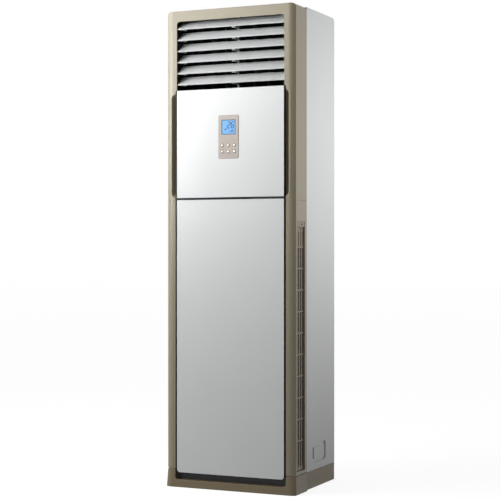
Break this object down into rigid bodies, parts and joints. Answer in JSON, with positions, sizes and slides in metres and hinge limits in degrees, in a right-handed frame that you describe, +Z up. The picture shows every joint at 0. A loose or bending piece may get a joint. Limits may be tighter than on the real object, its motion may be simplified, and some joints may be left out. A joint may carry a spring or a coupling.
{
  "type": "floor standing air conditioner",
  "caption": "Tall floor-standing air conditioner cabinet with a louvred outlet, display, side intake grilles, fan and coil.",
  "frame": {"origin": "middle of the cabinet's footprint, on the floor", "axes": "+Z up, -Y out of the front with the louvres and display, +X to the right of someone facing the front"},
  "size_m": [0.54, 0.41, 1.825],
  "materials": {
    "champagne_plastic": "fine-textured moulded ABS, champagne silver",
    "champagne_steel": "champagne powder coat on sheet steel",
    "dark_champagne_plastic": "fine-textured moulded ABS",
    "gloss_panel": "glossy white moulded ABS",
    "polished_trim": "bright plated strip",
    "bezel_plastic": "semi-gloss pale beige paint on ABS",
    "lcd": "blue backlit liquid crystal window",
    "circuit_board": "green solder mask on glass-fibre laminate",
    "white_plastic": "natural white moulded polystyrene",
    "foam": "black closed-cell foam sheet",
    "louvre_plastic": "satin white moulded ABS",
    "black_plastic": "black moulded plastic",
    "motor_plastic": "natural white moulded nylon",
    "filter_mesh": "woven nylon net in a moulded rim",
    "painted_steel": "white powder coat on sheet steel",
    "galvanised_steel": "hot-dip galvanised sheet steel",
    "impeller_plastic": "grey glass-filled moulding",
    "fin_aluminium": "thin aluminium fins",
    "copper": "drawn copper tube",
    "rubber": "black moulded rubber"
  },
  "bodies": {
    "cabinet": {"base_front_cover": "champagne_plastic", "base_tray": "champagne_steel", "left_rear_foot": "rubber", "right_rear_foot": "rubber", "lower_front_frame": "champagne_plastic", "upper_front_frame": "champagne_plastic", "upper_front_panel": "gloss_panel", "lower_front_panel": "gloss_panel", "panel_trim_strip": "polished_trim", "display_bezel": "bezel_plastic", "display_lcd": "lcd", "display_circuit_board": "circuit_board", "air_outlet_duct": "black_plastic", "outlet_foam_liner": "foam", "louvre_centre_support": "louvre_plastic", "louvre_drive_motor": "motor_plastic", "vane_drive_motor": "motor_plastic", "left_side_panel": "painted_steel", "right_side_panel": "painted_steel", "top_cover": "painted_steel", "upper_rear_panel": "galvanised_steel", "lower_rear_panel": "galvanised_steel", "fan_scroll": "galvanised_steel", "fan_inlet_ring": "galvanised_steel", "fan_motor": "galvanised_steel", "inner_shelf": "galvanised_steel", "drain_pan": "white_plastic", "evaporator": "fin_aluminium", "suction_pipe": "copper", "liquid_pipe": "copper", "control_box": "galvanised_steel", "control_board": "circuit_board", "control_box_cover": "galvanised_steel"},
    "louvre_1_body": {"louvre_1": "louvre_plastic"},
    "louvre_2_body": {"louvre_2": "louvre_plastic"},
    "louvre_3_body": {"louvre_3": "louvre_plastic"},
    "louvre_4_body": {"louvre_4": "louvre_plastic"},
    "louvre_5_body": {"louvre_5": "louvre_plastic"},
    "louvre_6_body": {"louvre_6": "louvre_plastic"},
    "louvre_link": {"louvre_link_bar": "black_plastic"},
    "vane_1_body": {"vane_1": "black_plastic"},
    "vane_2_body": {"vane_2": "black_plastic"},
    "vane_3_body": {"vane_3": "black_plastic"},
    "vane_4_body": {"vane_4": "black_plastic"},
    "vane_5_body": {"vane_5": "black_plastic"},
    "vane_6_body": {"vane_6": "black_plastic"},
    "vane_7_body": {"vane_7": "black_plastic"},
    "vane_link": {"vane_link_bar": "black_plastic"},
    "left_intake": {"left_intake_grille": "dark_champagne_plastic", "left_air_filter": "filter_mesh"},
    "right_intake": {"right_intake_grille": "dark_champagne_plastic", "right_air_filter": "filter_mesh"},
    "button_1": {"display_button_1": "bezel_plastic"},
    "button_2": {"display_button_2": "bezel_plastic"},
    "button_3": {"display_button_3": "bezel_plastic"},
    "button_4": {"display_button_4": "bezel_plastic"},
    "button_5": {"display_button_5": "bezel_plastic"},
    "button_6": {"display_button_6": "bezel_plastic"},
    "impeller": {"fan_impeller": "impeller_plastic"}
  },
  "joints": [
    {"name": "louvre_1_tilt", "type": "hinge", "parent": "cabinet", "child": "louvre_1_body", "pos_m": [0, -0.16149, 1.75896], "axis": [1, 0, 0], "range_deg": [-50, 35]},
    {"name": "louvre_2_tilt", "type": "hinge", "parent": "cabinet", "child": "louvre_2_body", "pos_m": [0, -0.16149, 1.71626], "axis": [1, 0, 0], "range_deg": [-50, 35]},
    {"name": "louvre_3_tilt", "type": "hinge", "parent": "cabinet", "child": "louvre_3_body", "pos_m": [0, -0.16149, 1.67356], "axis": [1, 0, 0], "range_deg": [-50, 35]},
    {"name": "louvre_4_tilt", "type": "hinge", "parent": "cabinet", "child": "louvre_4_body", "pos_m": [0, -0.16149, 1.63086], "axis": [1, 0, 0], "range_deg": [-50, 35]},
    {"name": "louvre_5_tilt", "type": "hinge", "parent": "cabinet", "child": "louvre_5_body", "pos_m": [0, -0.16149, 1.58816], "axis": [1, 0, 0], "range_deg": [-50, 35]},
    {"name": "louvre_6_tilt", "type": "hinge", "parent": "cabinet", "child": "louvre_6_body", "pos_m": [0, -0.16149, 1.54546], "axis": [1, 0, 0], "range_deg": [-50, 35]},
    {"name": "louvre_link_pivot", "type": "hinge", "parent": "louvre_1_body", "child": "louvre_link", "pos_m": [-0.201, -0.1275, 1.78189], "axis": [1, 0, 0], "range_deg": [-35, 50]},
    {"name": "vane_1_swing", "type": "hinge", "parent": "cabinet", "child": "vane_1_body", "pos_m": [-0.18, -0.0807, 1.66], "axis": [0, 0, 1], "range_deg": [-35, 35]},
    {"name": "vane_2_swing", "type": "hinge", "parent": "cabinet", "child": "vane_2_body", "pos_m": [-0.12, -0.0807, 1.66], "axis": [0, 0, 1], "range_deg": [-35, 35]},
    {"name": "vane_3_swing", "type": "hinge", "parent": "cabinet", "child": "vane_3_body", "pos_m": [-0.06, -0.0807, 1.66], "axis": [0, 0, 1], "range_deg": [-35, 35]},
    {"name": "vane_4_swing", "type": "hinge", "parent": "cabinet", "child": "vane_4_body", "pos_m": [0, -0.0807, 1.66], "axis": [0, 0, 1], "range_deg": [-35, 35]},
    {"name": "vane_5_swing", "type": "hinge", "parent": "cabinet", "child": "vane_5_body", "pos_m": [0.06, -0.0807, 1.66], "axis": [0, 0, 1], "range_deg": [-35, 35]},
    {"name": "vane_6_swing", "type": "hinge", "parent": "cabinet", "child": "vane_6_body", "pos_m": [0.12, -0.0807, 1.66], "axis": [0, 0, 1], "range_deg": [-35, 35]},
    {"name": "vane_7_swing", "type": "hinge", "parent": "cabinet", "child": "vane_7_body", "pos_m": [0.18, -0.0807, 1.66], "axis": [0, 0, 1], "range_deg": [-35, 35]},
    {"name": "vane_link_pivot", "type": "hinge", "parent": "vane_4_body", "child": "vane_link", "pos_m": [0, -0.0607, 1.521], "axis": [0, 0, 1], "range_deg": [-35, 35]},
    {"name": "left_intake_tilt", "type": "hinge", "parent": "cabinet", "child": "left_intake", "pos_m": [-0.2581, -0.143, 0.0924], "axis": [0, -1, 0], "range_deg": [0, 35]},
    {"name": "right_intake_tilt", "type": "hinge", "parent": "cabinet", "child": "right_intake", "pos_m": [0.2581, -0.143, 0.0924], "axis": [0, 1, 0], "range_deg": [0, 35]},
    {"name": "button_1_press", "type": "slide", "parent": "cabinet", "child": "button_1", "axis": [0, 1, 0], "range_m": [0, 0.001], "stiffness_N_per_m": 150, "springref_m": -0.001},
    {"name": "button_2_press", "type": "slide", "parent": "cabinet", "child": "button_2", "axis": [0, 1, 0], "range_m": [0, 0.001], "stiffness_N_per_m": 150, "springref_m": -0.001},
    {"name": "button_3_press", "type": "slide", "parent": "cabinet", "child": "button_3", "axis": [0, 1, 0], "range_m": [0, 0.001], "stiffness_N_per_m": 150, "springref_m": -0.001},
    {"name": "button_4_press", "type": "slide", "parent": "cabinet", "child": "button_4", "axis": [0, 1, 0], "range_m": [0, 0.001], "stiffness_N_per_m": 150, "springref_m": -0.001},
    {"name": "button_5_press", "type": "slide", "parent": "cabinet", "child": "button_5", "axis": [0, 1, 0], "range_m": [0, 0.001], "stiffness_N_per_m": 150, "springref_m": -0.001},
    {"name": "button_6_press", "type": "slide", "parent": "cabinet", "child": "button_6", "axis": [0, 1, 0], "range_m": [0, 0.001], "stiffness_N_per_m": 150, "springref_m": -0.001},
    {"name": "impeller_spin", "type": "hinge", "parent": "cabinet", "child": "impeller", "pos_m": [0, 0.025, 0.33], "axis": [0, 1, 0], "continuous": true}
  ],
  "couplings": [
    {"joint": "louvre_2_tilt", "follows": "louvre_1_tilt", "ratio": 1},
    {"joint": "louvre_3_tilt", "follows": "louvre_1_tilt", "ratio": 1},
    {"joint": "louvre_4_tilt", "follows": "louvre_1_tilt", "ratio": 1},
    {"joint": "louvre_5_tilt", "follows": "louvre_1_tilt", "ratio": 1},
    {"joint": "louvre_6_tilt", "follows": "louvre_1_tilt", "ratio": 1},
    {"joint": "louvre_link_pivot", "follows": "louvre_1_tilt", "ratio": -1},
    {"joint": "vane_1_swing", "follows": "vane_4_swing", "ratio": 1},
    {"joint": "vane_2_swing", "follows": "vane_4_swing", "ratio": 1},
    {"joint": "vane_3_swing", "follows": "vane_4_swing", "ratio": 1},
    {"joint": "vane_5_swing", "follows": "vane_4_swing", "ratio": 1},
    {"joint": "vane_6_swing", "follows": "vane_4_swing", "ratio": 1},
    {"joint": "vane_7_swing", "follows": "vane_4_swing", "ratio": 1},
    {"joint": "vane_link_pivot", "follows": "vane_4_swing", "ratio": -1}
  ]
}
